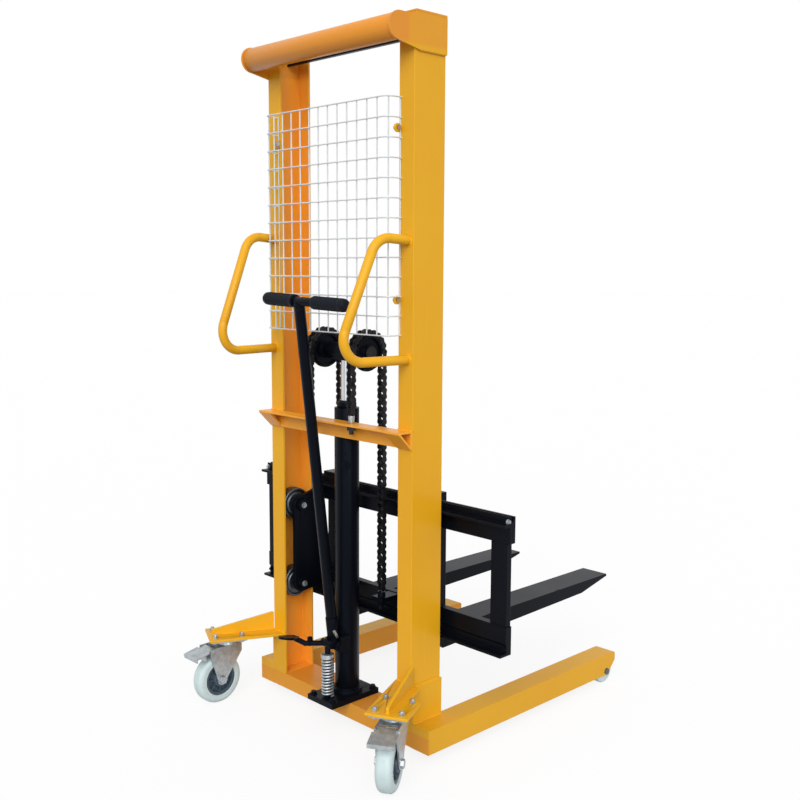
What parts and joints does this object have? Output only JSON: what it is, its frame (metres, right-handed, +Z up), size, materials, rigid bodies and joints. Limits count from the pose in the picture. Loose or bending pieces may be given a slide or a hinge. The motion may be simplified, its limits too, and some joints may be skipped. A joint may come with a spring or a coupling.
{
  "type": "manual hydraulic hand stacker",
  "caption": "Free-standing hand stacker: roller carriage with sliding forks on a chain-lift mast, worked by a hand and foot pump, on straddle legs and braked swivel casters.",
  "frame": {"origin": "on the floor, under the middle of the box that holds the whole stacker", "axes": "+Z up, +Y towards the fork tips, +X to the right of an operator who stands behind the mast"},
  "size_m": [1.108, 1.336, 2.08],
  "materials": {
    "yellow_paint": "gloss",
    "black_paint": "gloss",
    "chain_steel": "oiled satin",
    "zinc_steel": "zinc plated",
    "bright_steel": "turned",
    "chrome_rod": "polished",
    "white_wire": "gloss",
    "white_nylon": "satin",
    "slate_plastic": "satin",
    "black_rubber": "matte"
  },
  "bodies": {
    "frame": {"mast_columns": "yellow_paint", "column_caps": "yellow_paint", "head_cheeks": "yellow_paint", "head_tube": "yellow_paint", "front_tie_bar": "black_paint", "base_frame": "yellow_paint", "straddle_legs": "yellow_paint", "column_side_plates": "yellow_paint", "caster_brackets": "yellow_paint", "caster_mount_plates": "zinc_steel", "caster_bolts": "zinc_steel", "angle_brace": "yellow_paint", "grab_handle_left": "yellow_paint", "grab_handle_right": "yellow_paint", "guard_mesh": "white_wire", "guard_mesh_sides": "white_wire", "guard_lugs": "yellow_paint", "guard_bolts": "zinc_steel", "pump_base": "black_paint", "lift_cylinder": "black_paint", "cylinder_head": "black_paint", "lever_lugs": "black_paint", "lever_pin": "bright_steel", "chain_anchors": "zinc_steel", "chain_fixed_runs": "chain_steel", "load_wheel_axles": "bright_steel", "plunger_spring": "zinc_steel"},
    "carriage": {"carriage_upper_beam": "black_paint", "carriage_lower_beam": "black_paint", "carriage_uprights": "black_paint", "carriage_side_plates": "black_paint", "roller_axles": "black_paint", "chain_lugs": "black_paint", "chain_lift_runs": "chain_steel"},
    "lift_ram": {"lift_rod": "chrome_rod", "crosshead": "black_paint", "pulley_shaft": "chain_steel", "chain_wraps": "chain_steel"},
    "pulley_l": {"pulley_left": "black_paint"},
    "pulley_r": {"pulley_right": "black_paint"},
    "roller_ul": {"roller_upper_left": "bright_steel"},
    "roller_ur": {"roller_upper_right": "bright_steel"},
    "roller_ll": {"roller_lower_left": "bright_steel"},
    "roller_lr": {"roller_lower_right": "bright_steel"},
    "fork_l": {"fork_left": "black_paint"},
    "fork_r": {"fork_right": "black_paint"},
    "pump_lever": {"pump_rocker": "black_paint", "pump_handle": "black_paint", "handle_grips": "black_rubber"},
    "plunger": {"pump_plunger": "bright_steel"},
    "swivel_l": {"caster_yoke_left": "zinc_steel"},
    "swivel_r": {"caster_yoke_right": "zinc_steel"},
    "wheel_l": {"caster_tyre_left": "white_nylon", "caster_hub_left": "slate_plastic"},
    "wheel_r": {"caster_tyre_right": "white_nylon", "caster_hub_right": "slate_plastic"},
    "pedal_l": {"brake_pedal_left": "zinc_steel"},
    "pedal_r": {"brake_pedal_right": "zinc_steel"},
    "load_wheel_l": {"load_wheel_left": "white_nylon"},
    "load_wheel_r": {"load_wheel_right": "white_nylon"}
  },
  "joints": [
    {"name": "carriage_lift", "type": "slide", "parent": "frame", "child": "carriage", "axis": [0, 0, 1], "range_m": [-0.215, 1.286], "deforming": ["chain_lift_runs"]},
    {"name": "ram_lift", "type": "slide", "parent": "frame", "child": "lift_ram", "axis": [0, 0, 1], "range_m": [-0.1075, 0.643], "deforming": ["chain_fixed_runs"]},
    {"name": "pulley_left_turn", "type": "hinge", "parent": "lift_ram", "child": "pulley_l", "pos_m": [-0.095, -0.35404, 1.155], "axis": [1, 0, 0], "range_deg": [-101.47, 604.45]},
    {"name": "pulley_right_turn", "type": "hinge", "parent": "lift_ram", "child": "pulley_r", "pos_m": [0.095, -0.35404, 1.155], "axis": [1, 0, 0], "range_deg": [-101.47, 604.45]},
    {"name": "roller_lower_left_turn", "type": "hinge", "parent": "carriage", "child": "roller_ll", "pos_m": [-0.29, -0.32954, 0.379], "axis": [1, 0, 0], "range_deg": [-243.47, 1453.8]},
    {"name": "roller_lower_right_turn", "type": "hinge", "parent": "carriage", "child": "roller_lr", "pos_m": [0.29, -0.32954, 0.379], "axis": [1, 0, 0], "range_deg": [-243.47, 1453.8]},
    {"name": "roller_upper_left_turn", "type": "hinge", "parent": "carriage", "child": "roller_ul", "pos_m": [-0.29, -0.32954, 0.64], "axis": [1, 0, 0], "range_deg": [-1453.8, 243.47]},
    {"name": "roller_upper_right_turn", "type": "hinge", "parent": "carriage", "child": "roller_ur", "pos_m": [0.29, -0.32954, 0.64], "axis": [1, 0, 0], "range_deg": [-1453.8, 243.47]},
    {"name": "fork_left_slide", "type": "slide", "parent": "carriage", "child": "fork_l", "axis": [-1, 0, 0], "range_m": [-0.125, 0.064]},
    {"name": "fork_right_slide", "type": "slide", "parent": "carriage", "child": "fork_r", "axis": [1, 0, 0], "range_m": [-0.125, 0.064]},
    {"name": "pump_lever_swing", "type": "hinge", "parent": "frame", "child": "pump_lever", "pos_m": [0, -0.40304, 0.255], "axis": [1, 0, 0], "range_deg": [0, 40], "stiffness_Nm_per_rad": 30, "springref_deg": -22.92},
    {"name": "plunger_stroke", "type": "slide", "parent": "frame", "child": "plunger", "axis": [0, 0, -1], "range_m": [0, 0.01955], "deforming": ["plunger_spring"]},
    {"name": "caster_left_swivel", "type": "hinge", "parent": "frame", "child": "swivel_l", "pos_m": [-0.395, -0.52604, 0.195], "axis": [0, 0, 1], "continuous": true},
    {"name": "caster_left_roll", "type": "hinge", "parent": "swivel_l", "child": "wheel_l", "pos_m": [-0.395, -0.56804, 0.08], "axis": [1, 0, 0], "continuous": true},
    {"name": "brake_left_press", "type": "hinge", "parent": "swivel_l", "child": "pedal_l", "pos_m": [-0.395, -0.59804, 0.181], "axis": [1, 0, 0], "range_deg": [0, 4]},
    {"name": "load_wheel_left_roll", "type": "hinge", "parent": "frame", "child": "load_wheel_l", "pos_m": [-0.358, 0.47696, 0.042], "axis": [1, 0, 0], "continuous": true},
    {"name": "caster_right_swivel", "type": "hinge", "parent": "frame", "child": "swivel_r", "pos_m": [0.395, -0.52604, 0.195], "axis": [0, 0, 1], "continuous": true},
    {"name": "caster_right_roll", "type": "hinge", "parent": "swivel_r", "child": "wheel_r", "pos_m": [0.41726, -0.56166, 0.08], "axis": [0.848, 0.5299, 0], "continuous": true},
    {"name": "brake_right_press", "type": "hinge", "parent": "swivel_r", "child": "pedal_r", "pos_m": [0.43315, -0.5871, 0.181], "axis": [0.848, 0.5299, 0], "range_deg": [0, 4]},
    {"name": "load_wheel_right_roll", "type": "hinge", "parent": "frame", "child": "load_wheel_r", "pos_m": [0.358, 0.47696, 0.042], "axis": [1, 0, 0], "continuous": true}
  ],
  "couplings": [
    {"joint": "ram_lift", "follows": "carriage_lift", "ratio": 0.5},
    {"joint": "pulley_left_turn", "follows": "carriage_lift", "rad_per_m": 8.1967},
    {"joint": "pulley_right_turn", "follows": "carriage_lift", "rad_per_m": 8.1967},
    {"joint": "roller_lower_left_turn", "follows": "carriage_lift", "rad_per_m": 19.724},
    {"joint": "roller_lower_right_turn", "follows": "carriage_lift", "rad_per_m": 19.724},
    {"joint": "roller_upper_left_turn", "follows": "carriage_lift", "rad_per_m": -19.724},
    {"joint": "roller_upper_right_turn", "follows": "carriage_lift", "rad_per_m": -19.724},
    {"joint": "plunger_stroke", "follows": "pump_lever_swing", "m_per_rad": 0.027435}
  ]
}
